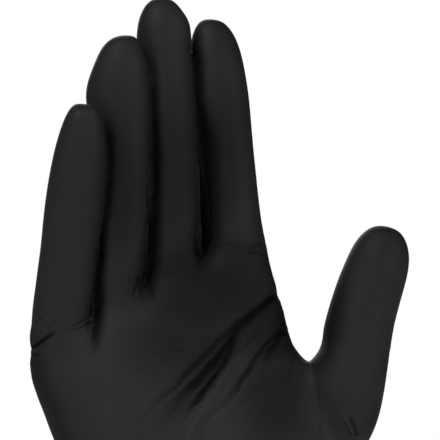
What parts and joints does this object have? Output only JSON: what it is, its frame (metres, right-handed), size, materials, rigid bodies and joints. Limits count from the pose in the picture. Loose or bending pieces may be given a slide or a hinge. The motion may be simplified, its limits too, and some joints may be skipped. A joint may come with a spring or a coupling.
{
  "type": "nitrile exam glove",
  "caption": "Thin black dipped glove for a right hand in the shape it has when worn: finger and thumb stalls, palm with tension folds, wrist cuff and a rolled bead round its open end.",
  "frame": {"origin": "centre of the wrist opening, in the plane of the rolled edge's lowest line", "axes": "+Z from the wrist opening towards the fingertips, -Y out of the palm, +Y out of the back of the hand, +X to the thumb's side"},
  "size_m": [0.123, 0.0572, 0.2395],
  "materials": {
    "nitrile": "satin, thin dipped film, drawn into fine folds"
  },
  "bodies": {
    "root": {"glove": "nitrile"}
  },
  "joints": []
}
